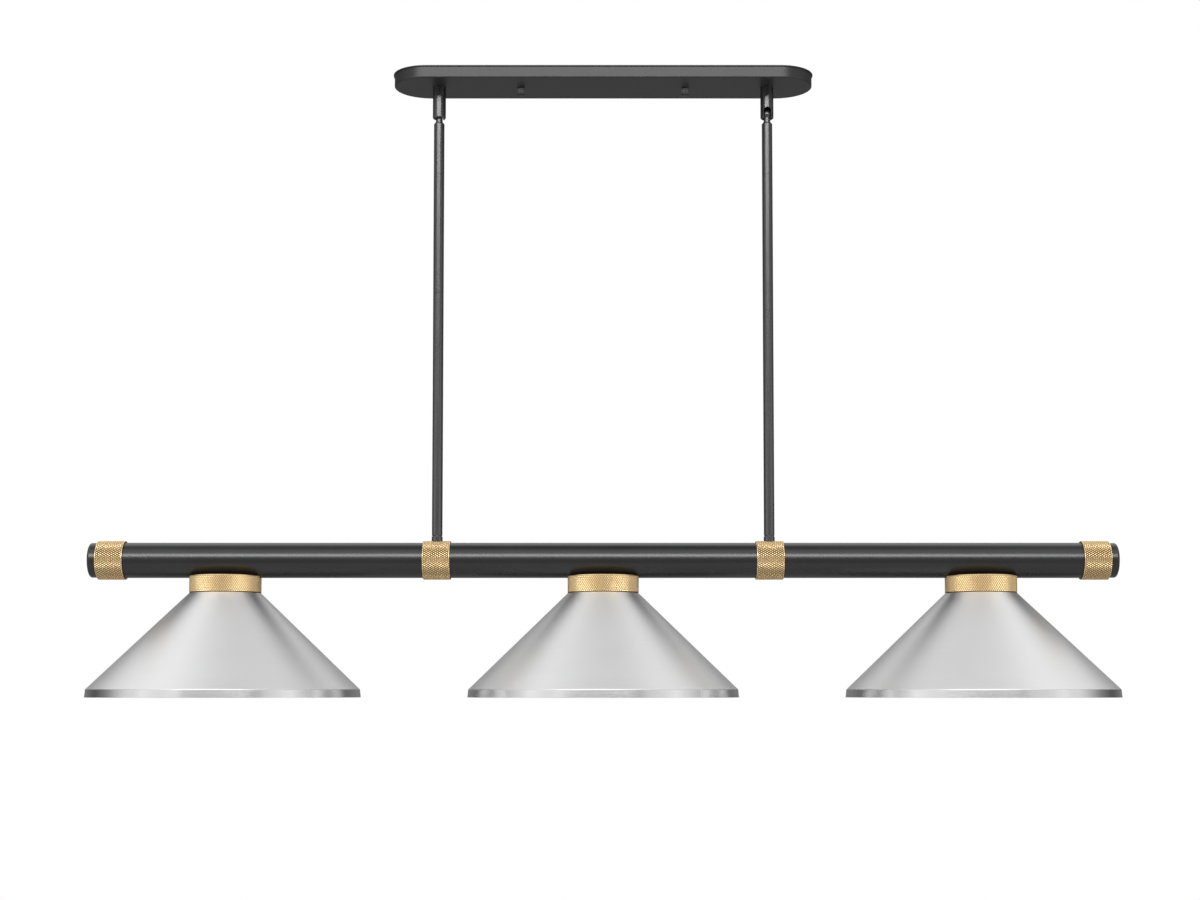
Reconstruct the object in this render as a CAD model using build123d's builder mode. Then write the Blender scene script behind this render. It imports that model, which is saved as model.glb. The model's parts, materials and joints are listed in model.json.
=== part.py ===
from build123d import *
import math
import os

# Linear island pendant. Millimetres, +Z up, +X along the bar, front towards -Y.
# The origin is the centre of the mounting strap's top face, where it meets the ceiling box.

os.makedirs("parts", exist_ok=True)

# ---------------------------------------------------------------- driving dimensions

# Clearances
thread_gap = 0.1  # radial play of a screwed joint
fit_gap = 0.05  # radial play of a sleeve or a saddle on the tube
running_gap = 0.25  # radial play of what turns or swings

# Canopy: a shallow pressed pan with full-round ends and a lip at the ceiling
canopy_length = 556.8
canopy_width = 92.0
canopy_height = 16.3
canopy_wall = 1.2
canopy_lip = 1.4
canopy_lip_height = 1.6
canopy_edge_radius = 2.0

# Mounting strap, screwed to the ceiling box
strap_length = 250.0
strap_width = 24.0
strap_thickness = 2.5
strap_corner_radius = 4.0
box_slot_spacing = 79.4
box_slot_width = 4.8
box_slot_length = 19.0
wire_hole_radius = 8.0

# Canopy studs, their locknuts and the turned nuts that hold the canopy up
stud_spacing = 219.4
stud_radius = 2.1
stud_locknut_flats = 8.0
stud_locknut_thickness = 3.2
canopy_nut_radius = 4.7
canopy_nut_height = 10.5
canopy_nut_dome = 1.8
stud_engagement = 7.0

# Ground screw
ground_screw_x = 72.0
ground_screw_radius = 1.9
ground_head_radius = 4.0
ground_head_height = 2.4
ground_slot_width = 1.0

# Hang-straight ball swivels
stem_spacing = 437.6
swivel_radius = 8.7
swivel_length = 42.0
swivel_lip_round = 2.0
swivel_top_thread = 8.0
swivel_slot_height = 14.6
ball_radius = 6.5
ball_height_above_lip = 5.8
neck_radius = 4.5
neck_length = 6.0
neck_flare_radius = 1.3
wire_bore_radius = 2.75
swing_limit_deg = 15.0

# Threaded hollow nipples and their hexagon locknuts
nipple_radius = 4.85
nipple_reach = 10.0
nipple_overrun = 1.2
locknut_flats = 14.3
locknut_thickness = 3.6
washer_radius = 8.6
washer_thickness = 0.8

# Stems: three screwed sections on each side, and the foot coupling on the bar
stem_radius = 6.95
stem_chamfer = 1.0
stem_top_length = 69.7
stem_middle_length = 160.0
stem_bottom_length = 322.4
seam_chamfer = 0.2
foot_radius = 7.2
foot_height = 7.05

# Bar tube, its knurled bands and end caps
tube_radius = 23.2
tube_wall = 1.5
tube_half_length = 664.4
band_radius = 25.55
band_width = 36.2
band_chamfer = 0.7
cap_radius = 22.8
cap_length = 10.6
cap_edge_radius = 3.0
cap_spigot = 14.0
saddle_thickness = 4.0
saddle_width = 16.0
saddle_length = 20.0

# Shade collars: knurled cups with a groove that seats the tube
shade_spacing = 497.0
collar_radius = 46.8
collar_height = 22.8
collar_wall = 2.5
collar_plate = 5.6
collar_chamfer = 0.7
collar_saddle_depth = 2.6

# Spun shades
shade_top_radius = 46.6
shade_fold_radius = 176.7
shade_rim_radius = 177.8
shade_cone_height = 126.2
shade_rim_height = 10.5
shade_wall = 0.8

# Medium-base sockets and the threaded rings that clamp the shades
socket_head_radius = 21.0
socket_skirt_radius = 19.5
socket_skirt_length = 34.6
socket_bore_depth = 30.0
socket_thread_depth = 8.0
socket_round = 2.0
ring_radius = 27.0
ring_height = 9.0
ring_notches = 12
ring_notch_radius = 2.2
shell_wall = 0.6
shell_length = 27.5
contact_radius = 4.0
contact_thickness = 1.4
contact_clearance = 1.0

# Lamps: a common pear-shaped bulb on a 26 mm screw base
bulb_length = 110.0
bulb_radius = 30.0
bulb_neck_length = 5.0
bulb_shoulder_deg = 25.0
glass_wall = 1.0
base_radius = 13.1
base_length = 27.0
base_tip_radius = 4.8
base_cone_height = 4.0

# ---------------------------------------------------------------- derived places

SIDES = {"left": -1, "right": 1}
SHADES = {"left": -1, "centre": 0, "right": 1}

swivel_top_z = -canopy_height
swivel_bottom_z = swivel_top_z - swivel_length
ball_z = swivel_bottom_z + ball_height_above_lip
shoulder_z = swivel_bottom_z - neck_length
upper_seam_z = shoulder_z - stem_top_length
lower_seam_z = upper_seam_z - stem_middle_length
foot_z = lower_seam_z - stem_bottom_length
bar_z = foot_z - foot_height - band_radius
tube_bore = tube_radius - tube_wall
collar_top_z = bar_z - tube_radius + collar_saddle_depth
collar_bottom_z = collar_top_z - collar_height
socket_top_z = collar_top_z - collar_plate
skirt_bottom_z = collar_bottom_z - socket_skirt_length
socket_floor_z = skirt_bottom_z + socket_bore_depth
fold_z = collar_bottom_z - shade_cone_height
rim_z = fold_z - shade_rim_height
thread_bore = nipple_radius + thread_gap
seat_radius = ball_radius + running_gap
shell_bore = base_radius + running_gap
shell_radius = shell_bore + shell_wall
bulb_tip_z = socket_floor_z - contact_thickness - running_gap
bulb_base_z = bulb_tip_z - base_length
bulb_centre_z = bulb_tip_z - bulb_length + bulb_radius


def upright(x):
    """The vertical plane through the axis at x: local X runs along the bar, local Y runs up."""
    return Plane(origin=(x, 0, 0), x_dir=(1, 0, 0), z_dir=(0, -1, 0))


def vertical_axis(x):
    """The vertical axis at x."""
    return Axis((x, 0, 0), (0, 0, 1))


def finish(builder, name):
    """Label a finished sub-part and write it."""
    builder.part.label = name
    export_step(builder.part, f"parts/{name}.step")


# ---------------------------------------------------------------- ceiling mount

with BuildPart() as canopy:
    with BuildSketch():
        SlotOverall(canopy_length, canopy_width)
    extrude(amount=-canopy_height)
    fillet(canopy.faces().sort_by(Axis.Z)[0].edges(), canopy_edge_radius)
    with BuildSketch():
        SlotOverall(canopy_length + 2 * canopy_lip, canopy_width + 2 * canopy_lip)
    extrude(amount=-canopy_lip_height)
    with BuildSketch():
        SlotOverall(canopy_length - 2 * canopy_wall, canopy_width - 2 * canopy_wall)
    extrude(amount=canopy_wall - canopy_height, mode=Mode.SUBTRACT)
    with BuildSketch(Plane.XY.offset(-canopy_height)):
        with GridLocations(stem_spacing, 1, 2, 1):
            Circle(thread_bore)
        with GridLocations(stud_spacing, 1, 2, 1):
            Circle(stud_radius + running_gap)
    extrude(amount=canopy_wall, mode=Mode.SUBTRACT)
finish(canopy, "canopy")

with BuildPart() as mounting_strap:
    with BuildSketch():
        RectangleRounded(strap_length, strap_width, strap_corner_radius)
        Circle(wire_hole_radius, mode=Mode.SUBTRACT)
        with GridLocations(box_slot_spacing, 1, 2, 1):
            SlotOverall(box_slot_length, box_slot_width, mode=Mode.SUBTRACT)
        with GridLocations(stud_spacing, 1, 2, 1):
            Circle(stud_radius + thread_gap, mode=Mode.SUBTRACT)
        with Locations((ground_screw_x, 0)):
            Circle(ground_screw_radius + thread_gap, mode=Mode.SUBTRACT)
    extrude(amount=-strap_thickness)
finish(mounting_strap, "mounting_strap")

with BuildPart() as canopy_studs:
    with BuildSketch():
        with GridLocations(stud_spacing, 1, 2, 1):
            Circle(stud_radius)
    extrude(amount=-canopy_height - stud_engagement)
    chamfer(canopy_studs.edges().group_by(Axis.Z)[0], stud_radius / 4)
finish(canopy_studs, "canopy_studs")

with BuildPart() as stud_locknuts:
    with BuildSketch(Plane.XY.offset(-strap_thickness)):
        with GridLocations(stud_spacing, 1, 2, 1):
            RegularPolygon(stud_locknut_flats / 2, 6, major_radius=False)
            Circle(stud_radius + thread_gap, mode=Mode.SUBTRACT)
    extrude(amount=-stud_locknut_thickness)
finish(stud_locknuts, "stud_locknuts")

with BuildPart() as ground_screw:
    with BuildSketch():
        with Locations((ground_screw_x, 0)):
            Circle(ground_screw_radius)
    extrude(amount=-strap_thickness)
    with BuildSketch(Plane.XY.offset(-strap_thickness)):
        with Locations((ground_screw_x, 0)):
            Circle(ground_head_radius)
    extrude(amount=-ground_head_height)
    fillet(ground_screw.edges().group_by(Axis.Z)[0], ground_head_height / 2)
    with BuildSketch(Plane.XY.offset(-strap_thickness - ground_head_height)):
        with Locations((ground_screw_x, 0)):
            Rectangle(2 * ground_head_radius, ground_slot_width)
    extrude(amount=ground_head_height / 2, mode=Mode.SUBTRACT)
finish(ground_screw, "ground_screw")

canopy_nut_top_z = -canopy_height - thread_gap

for side, sign in SIDES.items():
    nut_x = sign * stud_spacing / 2
    with BuildPart() as canopy_nut:
        with BuildSketch(Plane((nut_x, 0, canopy_nut_top_z))):
            Circle(canopy_nut_radius)
        extrude(amount=-canopy_nut_height)
        fillet(canopy_nut.edges().group_by(Axis.Z)[0], canopy_nut_dome)
        with BuildSketch(Plane((nut_x, 0, canopy_nut_top_z))):
            Circle(stud_radius + running_gap)
        extrude(amount=-stud_engagement - thread_gap, mode=Mode.SUBTRACT)
    finish(canopy_nut, f"canopy_nut_{side}")

# Swivel housings. The ball hangs on a spherical seat, and the mouth below it is a cone that
# clears the ball's neck at the swing limit. The slot on one side lets the stem be laid over
# while it is fitted: it faces front on the right swivel and away on the left one.
neck_clear = neck_radius + running_gap
swing = math.radians(swing_limit_deg)
seat_reach = math.sqrt(seat_radius**2 - neck_clear**2)
seat_edge = (
    neck_clear * math.cos(swing) + seat_reach * math.sin(swing),
    neck_clear * math.sin(swing) - seat_reach * math.cos(swing),
)
mouth_radius = (neck_clear + ball_height_above_lip * math.sin(swing)) / math.cos(swing)
seat_edge_deg = math.degrees(math.atan2(seat_edge[1], seat_edge[0]))
slot_radius = neck_clear

for side, sign in SIDES.items():
    stem_x = sign * stem_spacing / 2
    with BuildPart() as swivel_body:
        with BuildSketch(upright(stem_x)):
            with BuildLine():
                seat = CenterArc((0, ball_z), seat_radius, 0, seat_edge_deg)
                mouth = Line(seat @ 1, (mouth_radius, swivel_bottom_z))
                land = Line(mouth @ 1, (swivel_radius - swivel_lip_round, swivel_bottom_z))
                lip = RadiusArc(land @ 1, (swivel_radius, swivel_bottom_z + swivel_lip_round), -swivel_lip_round)
                Polyline(
                    lip @ 1,
                    (swivel_radius, swivel_top_z),
                    (thread_bore, swivel_top_z),
                    (thread_bore, swivel_top_z - swivel_top_thread),
                    (seat_radius, swivel_top_z - swivel_top_thread),
                    seat @ 0,
                )
            make_face()
        revolve(axis=vertical_axis(stem_x))
        with BuildSketch(upright(stem_x)):
            with Locations((0, swivel_bottom_z + swivel_slot_height - slot_radius)):
                Circle(slot_radius)
                Rectangle(2 * slot_radius, swivel_slot_height, align=(Align.CENTER, Align.MAX))
        extrude(amount=sign * 2 * swivel_radius, mode=Mode.SUBTRACT)
    finish(swivel_body, f"swivel_body_{side}")

canopy_floor_z = canopy_wall - canopy_height

with BuildPart() as swivel_nipples:
    with BuildSketch(Plane.XY.offset(swivel_top_z - swivel_top_thread)):
        with GridLocations(stem_spacing, 1, 2, 1):
            Circle(nipple_radius)
            Circle(wire_bore_radius, mode=Mode.SUBTRACT)
    extrude(amount=swivel_top_thread + canopy_wall + washer_thickness + locknut_thickness + nipple_overrun)
finish(swivel_nipples, "swivel_nipples")

with BuildPart() as swivel_washers:
    with BuildSketch(Plane.XY.offset(canopy_floor_z)):
        with GridLocations(stem_spacing, 1, 2, 1):
            Circle(washer_radius)
            Circle(thread_bore, mode=Mode.SUBTRACT)
    extrude(amount=washer_thickness)
finish(swivel_washers, "swivel_washers")

with BuildPart() as swivel_locknuts:
    with BuildSketch(Plane.XY.offset(canopy_floor_z + washer_thickness)):
        with GridLocations(stem_spacing, 1, 2, 1):
            RegularPolygon(locknut_flats / 2, 6, major_radius=False)
            Circle(thread_bore, mode=Mode.SUBTRACT)
    extrude(amount=locknut_thickness)
finish(swivel_locknuts, "swivel_locknuts")

# ---------------------------------------------------------------- ball studs and stems

ball_top_deg = math.degrees(math.acos(wire_bore_radius / ball_radius))
ball_neck_deg = -math.degrees(math.acos(neck_radius / ball_radius))

for side, sign in SIDES.items():
    stem_x = sign * stem_spacing / 2
    with BuildPart() as ball_stud:
        with BuildSketch(upright(stem_x)):
            with BuildLine():
                ball = CenterArc((0, ball_z), ball_radius, ball_top_deg, ball_neck_deg - ball_top_deg)
                neck = Line(ball @ 1, (neck_radius, shoulder_z + neck_flare_radius))
                flare = RadiusArc(neck @ 1, (neck_radius + neck_flare_radius, shoulder_z), neck_flare_radius)
                Polyline(
                    flare @ 1,
                    (nipple_radius, shoulder_z),
                    (nipple_radius, shoulder_z - nipple_reach),
                    (wire_bore_radius, shoulder_z - nipple_reach),
                    ball @ 0,
                )
            make_face()
        revolve(axis=vertical_axis(stem_x))
    finish(ball_stud, f"ball_stud_{side}")

    sections = {
        "top": (shoulder_z, stem_top_length, stem_chamfer),
        "middle": (upper_seam_z, stem_middle_length, seam_chamfer),
        "bottom": (lower_seam_z, stem_bottom_length, seam_chamfer),
    }
    for place, (top_z, length, top_chamfer) in sections.items():
        with BuildPart() as stem_section:
            with BuildSketch(Plane((stem_x, 0, top_z))):
                Circle(stem_radius)
                Circle(thread_bore, mode=Mode.SUBTRACT)
            extrude(amount=-length)
            chamfer(stem_section.edges().group_by(Axis.Z)[-1].sort_by(SortBy.RADIUS)[-1], top_chamfer)
            chamfer(stem_section.edges().group_by(Axis.Z)[0].sort_by(SortBy.RADIUS)[-1], seam_chamfer)
        finish(stem_section, f"stem_{place}_{side}")

    with BuildPart() as foot_coupling:
        with BuildSketch(Plane((stem_x, 0, foot_z))):
            Circle(foot_radius)
            Circle(thread_bore, mode=Mode.SUBTRACT)
        extrude(amount=-foot_height - foot_radius)
        chamfer(foot_coupling.edges().group_by(Axis.Z)[-1].sort_by(SortBy.RADIUS)[-1], seam_chamfer)
        with BuildSketch(Plane.YZ.offset(stem_x)):
            with Locations((0, bar_z)):
                Circle(band_radius + fit_gap)
        extrude(amount=2 * foot_radius, both=True, mode=Mode.SUBTRACT)
    finish(foot_coupling, f"foot_coupling_{side}")

with BuildPart() as stem_nipples:
    for seam_z in (upper_seam_z, lower_seam_z):
        with BuildSketch(Plane.XY.offset(seam_z)):
            with GridLocations(stem_spacing, 1, 2, 1):
                Circle(nipple_radius)
                Circle(wire_bore_radius, mode=Mode.SUBTRACT)
        extrude(amount=nipple_reach, both=True)
finish(stem_nipples, "stem_nipples")

# ---------------------------------------------------------------- bar

nipple_hole = nipple_radius + running_gap

with BuildPart() as bar_tube:
    with BuildSketch(Plane.YZ):
        with Locations((0, bar_z)):
            Circle(tube_radius)
            Circle(tube_bore, mode=Mode.SUBTRACT)
    extrude(amount=tube_half_length, both=True)
    with BuildSketch(Plane.XY.offset(bar_z)):
        with GridLocations(stem_spacing, 1, 2, 1):
            Circle(nipple_hole)
    extrude(amount=tube_radius, mode=Mode.SUBTRACT)
    with BuildSketch(Plane.XY.offset(bar_z)):
        with GridLocations(shade_spacing, 1, 3, 1):
            Circle(nipple_hole)
    extrude(amount=-tube_radius, mode=Mode.SUBTRACT)
finish(bar_tube, "bar_tube")

for side, sign in SIDES.items():
    stem_x = sign * stem_spacing / 2
    with BuildPart() as stem_band:
        with BuildSketch(Plane.YZ.offset(stem_x)):
            with Locations((0, bar_z)):
                Circle(band_radius)
        extrude(amount=band_width / 2, both=True)
        chamfer(stem_band.edges().filter_by(GeomType.CIRCLE), band_chamfer)
        with BuildSketch(Plane.YZ.offset(stem_x)):
            with Locations((0, bar_z)):
                Circle(tube_radius + fit_gap)
        extrude(amount=band_width, both=True, mode=Mode.SUBTRACT)
        with BuildSketch(Plane((stem_x, 0, bar_z))):
            Circle(nipple_hole)
        extrude(amount=2 * band_radius, mode=Mode.SUBTRACT)
    finish(stem_band, f"stem_band_{side}")

    with BuildPart() as end_band:
        with BuildSketch(Plane.YZ.offset(sign * tube_half_length)):
            with Locations((0, bar_z)):
                Circle(band_radius)
        extrude(amount=-sign * band_width)
        chamfer(end_band.edges().filter_by(GeomType.CIRCLE), band_chamfer)
        with BuildSketch(Plane.YZ.offset(sign * tube_half_length)):
            with Locations((0, bar_z)):
                Circle(tube_radius + fit_gap)
        extrude(amount=-sign * band_width, mode=Mode.SUBTRACT)
    finish(end_band, f"end_band_{side}")

    with BuildPart() as end_cap:
        with BuildSketch(Plane.YZ.offset(sign * tube_half_length)):
            with Locations((0, bar_z)):
                Circle(cap_radius)
        extrude(amount=sign * cap_length)
        fillet(end_cap.faces().sort_by(Axis.X, reverse=sign < 0)[-1].edges(), cap_edge_radius)
        with BuildSketch(Plane.YZ.offset(sign * tube_half_length)):
            with Locations((0, bar_z)):
                Circle(tube_bore - thread_gap)
        extrude(amount=-sign * cap_spigot)
    finish(end_cap, f"end_cap_{side}")

# Inside the tube a saddle block spreads each nipple's locknut over the curved wall: above at
# the stems, below at the shades.
saddle_radius = tube_bore - fit_gap
stem_saddle_z = bar_z + saddle_radius - saddle_thickness
shade_saddle_z = bar_z - saddle_radius + saddle_thickness

with BuildPart() as stem_saddles:
    with BuildSketch(*[Plane.YZ.offset(sign * stem_spacing / 2) for sign in SIDES.values()]):
        with Locations((0, bar_z)):
            Circle(saddle_radius)
        with Locations((0, stem_saddle_z)):
            Rectangle(saddle_width, saddle_radius, align=(Align.CENTER, Align.MIN), mode=Mode.INTERSECT)
    extrude(amount=saddle_length / 2, both=True)
    with BuildSketch(Plane.XY.offset(bar_z)):
        with GridLocations(stem_spacing, 1, 2, 1):
            Circle(nipple_hole)
    extrude(amount=tube_radius, mode=Mode.SUBTRACT)
finish(stem_saddles, "stem_saddles")

with BuildPart() as stem_locknuts:
    with BuildSketch(Plane.XY.offset(stem_saddle_z)):
        with GridLocations(stem_spacing, 1, 2, 1):
            RegularPolygon(locknut_flats / 2, 6, major_radius=False)
            Circle(thread_bore, mode=Mode.SUBTRACT)
    extrude(amount=-locknut_thickness)
finish(stem_locknuts, "stem_locknuts")

with BuildPart() as foot_nipples:
    with BuildSketch(Plane.XY.offset(foot_z + nipple_reach)):
        with GridLocations(stem_spacing, 1, 2, 1):
            Circle(nipple_radius)
            Circle(wire_bore_radius, mode=Mode.SUBTRACT)
    extrude(amount=stem_saddle_z - locknut_thickness - nipple_overrun - foot_z - nipple_reach)
finish(foot_nipples, "foot_nipples")

with BuildPart() as shade_saddles:
    with BuildSketch(*[Plane.YZ.offset(place * shade_spacing) for place in SHADES.values()]):
        with Locations((0, bar_z)):
            Circle(saddle_radius)
        with Locations((0, shade_saddle_z)):
            Rectangle(saddle_width, saddle_radius, align=(Align.CENTER, Align.MAX), mode=Mode.INTERSECT)
    extrude(amount=saddle_length / 2, both=True)
    with BuildSketch(Plane.XY.offset(bar_z)):
        with GridLocations(shade_spacing, 1, 3, 1):
            Circle(nipple_hole)
    extrude(amount=-tube_radius, mode=Mode.SUBTRACT)
finish(shade_saddles, "shade_saddles")

with BuildPart() as shade_locknuts:
    with BuildSketch(Plane.XY.offset(shade_saddle_z)):
        with GridLocations(shade_spacing, 1, 3, 1):
            RegularPolygon(locknut_flats / 2, 6, major_radius=False)
            Circle(thread_bore, mode=Mode.SUBTRACT)
    extrude(amount=locknut_thickness)
finish(shade_locknuts, "shade_locknuts")

with BuildPart() as shade_nipples:
    with BuildSketch(Plane.XY.offset(socket_top_z - socket_thread_depth)):
        with GridLocations(shade_spacing, 1, 3, 1):
            Circle(nipple_radius)
            Circle(wire_bore_radius, mode=Mode.SUBTRACT)
    extrude(amount=shade_saddle_z + locknut_thickness + nipple_overrun - socket_top_z + socket_thread_depth)
finish(shade_nipples, "shade_nipples")

# ---------------------------------------------------------------- shades, sockets and bulbs

# The spun skin is as thick on the cone as on the rim, so its inner lines are set in by the
# wall measured level: skin on the cone, wall on the nearly upright rim.
cone_slope = (shade_fold_radius - shade_top_radius) / shade_cone_height
rim_slope = (shade_rim_radius - shade_fold_radius) / shade_rim_height
cone_skin = shade_wall * math.sqrt(1 + cone_slope**2)
inner_fold_drop = (cone_skin - shade_wall) / (cone_slope - rim_slope)
shade_hole_radius = socket_skirt_radius + running_gap

for name, place in SHADES.items():
    shade_x = place * shade_spacing
    with BuildPart() as shade_collar:
        with BuildSketch(Plane((shade_x, 0, collar_top_z))):
            Circle(collar_radius)
        extrude(amount=-collar_height)
        chamfer(shade_collar.edges().filter_by(GeomType.CIRCLE), collar_chamfer)
        with BuildSketch(Plane((shade_x, 0, collar_bottom_z))):
            Circle(collar_radius - collar_wall)
        extrude(amount=collar_height - collar_plate, mode=Mode.SUBTRACT)
        with BuildSketch(Plane.YZ.offset(shade_x)):
            with Locations((0, bar_z)):
                Circle(tube_radius + fit_gap)
        extrude(amount=collar_radius + tube_radius, both=True, mode=Mode.SUBTRACT)
        with BuildSketch(Plane((shade_x, 0, collar_top_z))):
            Circle(nipple_hole)
        extrude(amount=-collar_plate, mode=Mode.SUBTRACT)
    finish(shade_collar, f"shade_collar_{name}")

    with BuildPart() as shade:
        with BuildSketch(upright(shade_x)):
            with BuildLine():
                Polyline(
                    (shade_hole_radius, collar_bottom_z),
                    (shade_top_radius, collar_bottom_z),
                    (shade_fold_radius, fold_z),
                    (shade_rim_radius, rim_z),
                    (shade_rim_radius - shade_wall, rim_z),
                    (
                        shade_fold_radius + rim_slope * inner_fold_drop - shade_wall,
                        fold_z - inner_fold_drop,
                    ),
                    (shade_top_radius + cone_slope * shade_wall - cone_skin, collar_bottom_z - shade_wall),
                    (shade_hole_radius, collar_bottom_z - shade_wall),
                    close=True,
                )
            make_face()
        revolve(axis=vertical_axis(shade_x))
    finish(shade, f"shade_{name}")

    with BuildPart() as socket:
        with BuildSketch(Plane((shade_x, 0, socket_top_z))):
            Circle(socket_head_radius)
        extrude(amount=collar_bottom_z - socket_top_z)
        fillet(socket.edges().group_by(Axis.Z)[-1], socket_round)
        with BuildSketch(Plane((shade_x, 0, collar_bottom_z))):
            Circle(socket_skirt_radius)
        extrude(amount=-socket_skirt_length)
        fillet(socket.edges().group_by(Axis.Z)[0], socket_round)
        with BuildSketch(Plane((shade_x, 0, skirt_bottom_z))):
            Circle(shell_radius + fit_gap)
        extrude(amount=socket_bore_depth, mode=Mode.SUBTRACT)
        with BuildSketch(Plane((shade_x, 0, socket_top_z))):
            Circle(thread_bore)
        extrude(amount=-socket_thread_depth, mode=Mode.SUBTRACT)
    finish(socket, f"socket_{name}")

    with BuildPart() as socket_shell:
        with BuildSketch(Plane((shade_x, 0, socket_floor_z))):
            Circle(shell_radius)
        extrude(amount=-shell_length)
        with BuildSketch(Plane((shade_x, 0, socket_floor_z - shell_wall))):
            Circle(shell_bore)
        extrude(amount=shell_wall - shell_length, mode=Mode.SUBTRACT)
        with BuildSketch(Plane((shade_x, 0, socket_floor_z))):
            Circle(contact_radius + contact_clearance)
        extrude(amount=-shell_wall, mode=Mode.SUBTRACT)
    finish(socket_shell, f"socket_shell_{name}")

    with BuildPart() as shade_ring:
        with BuildSketch(Plane((shade_x, 0, collar_bottom_z - shade_wall))):
            Circle(ring_radius)
            Circle(socket_skirt_radius + thread_gap, mode=Mode.SUBTRACT)
            with PolarLocations(ring_radius, ring_notches):
                Circle(ring_notch_radius, mode=Mode.SUBTRACT)
        extrude(amount=-ring_height)
    finish(shade_ring, f"shade_ring_{name}")

    with BuildPart() as bulb_base:
        with BuildSketch(upright(shade_x)):
            with BuildLine():
                Polyline(
                    (0, bulb_tip_z),
                    (base_tip_radius, bulb_tip_z),
                    (base_radius, bulb_tip_z - base_cone_height),
                    (base_radius, bulb_base_z),
                    (0, bulb_base_z),
                    close=True,
                )
            make_face()
        revolve(axis=vertical_axis(shade_x))
    finish(bulb_base, f"bulb_base_{name}")

    # The glass is one profile, swept round twice: once for the outside and once, thinner by
    # the glass, for the space inside, which is open only where the base closes the neck.
    with BuildPart() as bulb_glass:
        for shrink, mode in ((0, Mode.ADD), (glass_wall, Mode.SUBTRACT)):
            neck_r = base_radius - shrink
            globe_r = bulb_radius - shrink
            shoulder = math.radians(bulb_shoulder_deg)
            with BuildSketch(upright(shade_x)):
                with BuildLine():
                    throat = Line((neck_r, bulb_base_z), (neck_r, bulb_base_z - bulb_neck_length))
                    globe = CenterArc((0, bulb_centre_z), globe_r, bulb_shoulder_deg, -90 - bulb_shoulder_deg)
                    Spline(throat @ 1, globe @ 0, tangents=[(0, -1), (math.sin(shoulder), -math.cos(shoulder))])
                    Polyline(globe @ 1, (0, bulb_base_z), throat @ 0)
                make_face()
            revolve(axis=vertical_axis(shade_x), mode=mode)
    finish(bulb_glass, f"bulb_glass_{name}")

with BuildPart() as socket_contacts:
    with BuildSketch(Plane.XY.offset(socket_floor_z)):
        with GridLocations(shade_spacing, 1, 3, 1):
            Circle(contact_radius)
    extrude(amount=-contact_thickness)
finish(socket_contacts, "socket_contacts")
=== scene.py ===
# %% [markdown]
# # A linear island pendant, dressed for its photograph
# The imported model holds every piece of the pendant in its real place: canopy, ball swivels,
# stems, bar, knurled collars and spun shades. This notebook gives those pieces their finishes,
# and makes anew the ones whose surface is too fine for a solid: knurling, screw threads, and
# edges that are broken rather than sharp. The pieces' own sizes are in mm. The room, its lamps
# and what a finish measures are in m.

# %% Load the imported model
import json
import math

import bmesh
import bpy
from mathutils import Euler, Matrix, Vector

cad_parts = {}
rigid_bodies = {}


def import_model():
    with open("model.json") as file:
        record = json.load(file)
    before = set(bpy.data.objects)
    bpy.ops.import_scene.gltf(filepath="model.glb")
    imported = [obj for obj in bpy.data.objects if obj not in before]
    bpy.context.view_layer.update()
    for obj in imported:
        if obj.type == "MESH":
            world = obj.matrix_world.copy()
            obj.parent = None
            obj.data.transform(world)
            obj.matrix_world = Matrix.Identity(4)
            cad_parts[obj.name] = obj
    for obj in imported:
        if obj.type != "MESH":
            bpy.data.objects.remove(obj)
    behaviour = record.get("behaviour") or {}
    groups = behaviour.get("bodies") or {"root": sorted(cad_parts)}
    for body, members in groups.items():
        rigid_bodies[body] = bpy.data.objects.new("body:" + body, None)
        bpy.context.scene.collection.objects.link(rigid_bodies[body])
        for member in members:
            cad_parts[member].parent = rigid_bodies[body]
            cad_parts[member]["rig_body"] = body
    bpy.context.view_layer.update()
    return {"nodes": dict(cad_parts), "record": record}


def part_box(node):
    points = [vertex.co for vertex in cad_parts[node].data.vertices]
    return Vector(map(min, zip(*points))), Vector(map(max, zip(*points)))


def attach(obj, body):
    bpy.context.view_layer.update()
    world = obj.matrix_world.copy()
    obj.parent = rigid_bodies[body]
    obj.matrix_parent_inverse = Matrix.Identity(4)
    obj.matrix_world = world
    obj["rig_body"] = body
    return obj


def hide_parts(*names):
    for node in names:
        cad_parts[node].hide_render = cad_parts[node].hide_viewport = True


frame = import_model()
finish_slots = {part["node"]: part["material_slot"] for part in frame["record"]["subparts"]}


# %% [markdown]
# ## The camera
# The photograph was taken from about two and a half metres, level with the shades, by someone
# looking slightly up: the canopy shows its underside, and the shades show only a thin rim. The
# upright stems stay upright, so most of the picture's height comes from sliding the lens up
# (shift) and only a little from tilting it.

# %% Set the camera
CAMERA_PLACE = (-0.0042, -2.536, -0.822)
CAMERA_PITCH_DEG = 3.5
CAMERA_SENSOR_MM, CAMERA_LENS_MM = 36.0, 57.9
CAMERA_SHIFT_UP = 0.1033

camera_data = bpy.data.cameras.new("camera")
camera_data.sensor_width = CAMERA_SENSOR_MM
camera_data.lens = CAMERA_LENS_MM
camera_data.shift_y = CAMERA_SHIFT_UP
camera = bpy.data.objects.new("camera", camera_data)
camera.location = CAMERA_PLACE
camera.rotation_euler = Euler((math.radians(90 + CAMERA_PITCH_DEG), 0, 0))
bpy.context.scene.collection.objects.link(camera)
bpy.context.scene.camera = camera
bpy.context.scene.view_settings.view_transform = "Standard"
print("camera", CAMERA_PLACE, "lens", CAMERA_LENS_MM, "mm")

# %% [markdown]
# ## Writing a finish as a sum
# A finish is a sheet of nodes. Wiring them by hand hides what they compute, so a socket is
# wrapped in a small class whose +, - and * add the Math nodes. Anything else, such as a
# noise or a ramp, comes from one method that sets the node up and feeds its sockets.


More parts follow.
